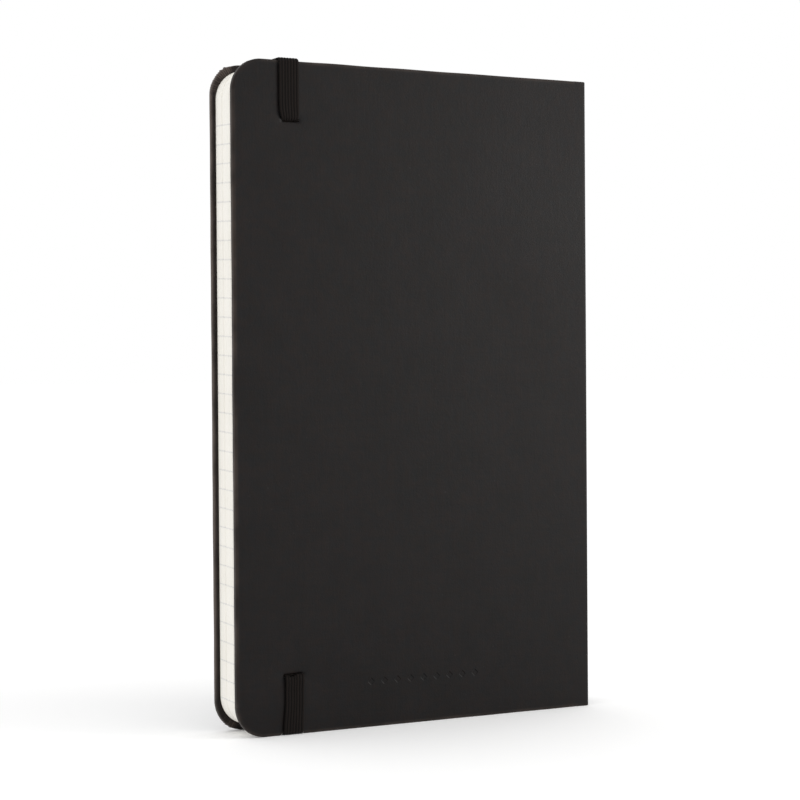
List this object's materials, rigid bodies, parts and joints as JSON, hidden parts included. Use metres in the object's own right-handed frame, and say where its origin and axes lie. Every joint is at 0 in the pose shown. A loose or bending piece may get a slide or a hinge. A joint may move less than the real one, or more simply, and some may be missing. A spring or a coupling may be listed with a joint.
{
  "type": "hard-cover notebook",
  "caption": "Black hard-cover ruled notebook with rounded corners, an elastic closure held in the back cover and a sewn, fanning text block.",
  "frame": {"origin": "middle of the tail edge, at the bottom centre of the closed, upright notebook", "axes": "+Z from tail to head, +Y out of the back cover, +X from the spine to the fore-edge"},
  "size_m": [0.13, 0.0198, 0.2109],
  "materials": {
    "cover_material": "matte black coated covering material, very fine grain",
    "board": "grey binder's board",
    "endpaper": "matte ivory endpaper",
    "pages": "matte ivory paper, faint grey ruling",
    "elastic": "black woven elastic with lengthwise ribs",
    "pocket_card": "matte ivory card",
    "pocket_cloth": "black book cloth",
    "thread": "white sewing thread",
    "lining": "dark lining paper"
  },
  "bodies": {
    "spine": {"spine_skin": "cover_material", "spine_strip": "board", "spine_lining": "lining", "section_08": "pages", "section_thread_08": "thread"},
    "front_cover": {"front_cover_skin": "cover_material", "front_board": "board", "front_pastedown": "endpaper"},
    "back_cover": {"back_cover_skin": "cover_material", "back_board": "board", "back_pastedown": "endpaper", "elastic_band_ends": "elastic", "pocket_gusset_head": "pocket_cloth", "pocket_gusset_tail": "pocket_cloth"},
    "pocket": {"pocket_panel": "pocket_card"},
    "elastic": {"elastic_band": "elastic"},
    "front_flyleaf": {"front_flyleaf": "endpaper"},
    "back_flyleaf": {"back_flyleaf": "endpaper"},
    "section_07": {"section_07": "pages", "section_thread_07": "thread"},
    "section_09": {"section_09": "pages", "section_thread_09": "thread"},
    "section_06": {"section_06": "pages", "section_thread_06": "thread"},
    "section_10": {"section_10": "pages", "section_thread_10": "thread"},
    "section_05": {"section_05": "pages", "section_thread_05": "thread"},
    "section_11": {"section_11": "pages", "section_thread_11": "thread"},
    "section_04": {"section_04": "pages", "section_thread_04": "thread"},
    "section_12": {"section_12": "pages", "section_thread_12": "thread"},
    "section_03": {"section_03": "pages", "section_thread_03": "thread"},
    "section_13": {"section_13": "pages", "section_thread_13": "thread"},
    "section_02": {"section_02": "pages", "section_thread_02": "thread"},
    "section_14": {"section_14": "pages", "section_thread_14": "thread"},
    "section_01": {"section_01": "pages", "section_thread_01": "thread"},
    "section_15": {"section_15": "pages", "section_thread_15": "thread"}
  },
  "joints": [
    {"name": "front_cover_hinge", "type": "hinge", "parent": "spine", "child": "front_cover", "pos_m": [-0.0605, -0.00905, 0.105], "axis": [0, 0, -1], "range_deg": [0, 178]},
    {"name": "back_cover_hinge", "type": "hinge", "parent": "spine", "child": "back_cover", "pos_m": [-0.0605, 0.00905, 0.105], "axis": [0, 0, 1], "range_deg": [0, 178]},
    {"name": "section_07_fold", "type": "hinge", "parent": "spine", "child": "section_07", "pos_m": [-0.0613, -0.00071, 0.105], "axis": [0, 0, -1], "range_deg": [0, 1.12]},
    {"name": "section_09_fold", "type": "hinge", "parent": "spine", "child": "section_09", "pos_m": [-0.0613, 0.00012, 0.105], "axis": [0, 0, 1], "range_deg": [0, 1.12]},
    {"name": "section_06_fold", "type": "hinge", "parent": "section_07", "child": "section_06", "pos_m": [-0.0613, -0.00151, 0.105], "axis": [0, 0, -1], "range_deg": [0, 1.58]},
    {"name": "section_10_fold", "type": "hinge", "parent": "section_09", "child": "section_10", "pos_m": [-0.0613, 0.00092, 0.105], "axis": [0, 0, 1], "range_deg": [0, 1.58]},
    {"name": "section_05_fold", "type": "hinge", "parent": "section_06", "child": "section_05", "pos_m": [-0.0613, -0.00232, 0.105], "axis": [0, 0, -1], "range_deg": [0, 2.27]},
    {"name": "section_11_fold", "type": "hinge", "parent": "section_10", "child": "section_11", "pos_m": [-0.0613, 0.00173, 0.105], "axis": [0, 0, 1], "range_deg": [0, 2.27]},
    {"name": "section_04_fold", "type": "hinge", "parent": "section_05", "child": "section_04", "pos_m": [-0.0613, -0.00313, 0.105], "axis": [0, 0, -1], "range_deg": [0, 3.31]},
    {"name": "section_12_fold", "type": "hinge", "parent": "section_11", "child": "section_12", "pos_m": [-0.0613, 0.00254, 0.105], "axis": [0, 0, 1], "range_deg": [0, 3.31]},
    {"name": "section_03_fold", "type": "hinge", "parent": "section_04", "child": "section_03", "pos_m": [-0.0613, -0.00393, 0.105], "axis": [0, 0, -1], "range_deg": [0, 4.87]},
    {"name": "section_13_fold", "type": "hinge", "parent": "section_12", "child": "section_13", "pos_m": [-0.0613, 0.00334, 0.105], "axis": [0, 0, 1], "range_deg": [0, 4.87]},
    {"name": "section_02_fold", "type": "hinge", "parent": "section_03", "child": "section_02", "pos_m": [-0.0613, -0.00474, 0.105], "axis": [0, 0, -1], "range_deg": [0, 7.2]},
    {"name": "section_14_fold", "type": "hinge", "parent": "section_13", "child": "section_14", "pos_m": [-0.0613, 0.00415, 0.105], "axis": [0, 0, 1], "range_deg": [0, 7.2]},
    {"name": "section_01_fold", "type": "hinge", "parent": "section_02", "child": "section_01", "pos_m": [-0.0613, -0.00554, 0.105], "axis": [0, 0, -1], "range_deg": [0, 10.7]},
    {"name": "section_15_fold", "type": "hinge", "parent": "section_14", "child": "section_15", "pos_m": [-0.0613, 0.00495, 0.105], "axis": [0, 0, 1], "range_deg": [0, 10.7]},
    {"name": "front_flyleaf_fold", "type": "hinge", "parent": "section_01", "child": "front_flyleaf", "pos_m": [-0.0575, -0.00637, 0.105], "axis": [0, 0, -1], "range_deg": [0, 48.85]},
    {"name": "back_flyleaf_fold", "type": "hinge", "parent": "section_15", "child": "back_flyleaf", "pos_m": [-0.0575, 0.00578, 0.105], "axis": [0, 0, 1], "range_deg": [0, 48.85]},
    {"name": "pocket_fold", "type": "hinge", "parent": "back_cover", "child": "pocket", "pos_m": [0.059, 0.00631, 0.105], "axis": [0, 0, 1], "range_deg": [0, 5.9], "deforming": ["pocket_gusset_head", "pocket_gusset_tail"]},
    {"name": "elastic_release", "type": "hinge", "parent": "back_cover", "child": "elastic", "pos_m": [0.046, 0.00945, 0.105], "axis": [0, 0, 1], "range_deg": [0, 178.2], "deforming": ["elastic_band"]}
  ],
  "couplings": [
    {"joint": "section_07_fold", "follows": "front_cover_hinge", "ratio": 0.005181},
    {"joint": "section_09_fold", "follows": "back_cover_hinge", "ratio": 0.005181},
    {"joint": "section_06_fold", "follows": "front_cover_hinge", "ratio": 0.007771},
    {"joint": "section_10_fold", "follows": "back_cover_hinge", "ratio": 0.007771},
    {"joint": "section_05_fold", "follows": "front_cover_hinge", "ratio": 0.011656},
    {"joint": "section_11_fold", "follows": "back_cover_hinge", "ratio": 0.011656},
    {"joint": "section_04_fold", "follows": "front_cover_hinge", "ratio": 0.017484},
    {"joint": "section_12_fold", "follows": "back_cover_hinge", "ratio": 0.017484},
    {"joint": "section_03_fold", "follows": "front_cover_hinge", "ratio": 0.026226},
    {"joint": "section_13_fold", "follows": "back_cover_hinge", "ratio": 0.026226},
    {"joint": "section_02_fold", "follows": "front_cover_hinge", "ratio": 0.039339},
    {"joint": "section_14_fold", "follows": "back_cover_hinge", "ratio": 0.039339},
    {"joint": "section_01_fold", "follows": "front_cover_hinge", "ratio": 0.059009},
    {"joint": "section_15_fold", "follows": "back_cover_hinge", "ratio": 0.059009},
    {"joint": "front_flyleaf_fold", "follows": "front_cover_hinge", "ratio": 0.27333},
    {"joint": "back_flyleaf_fold", "follows": "back_cover_hinge", "ratio": 0.27333},
    {"joint": "pocket_fold", "follows": "back_cover_hinge", "ratio": 0.032},
    {"joint": "elastic_release", "follows": "front_cover_hinge", "ratio": 1}
  ]
}
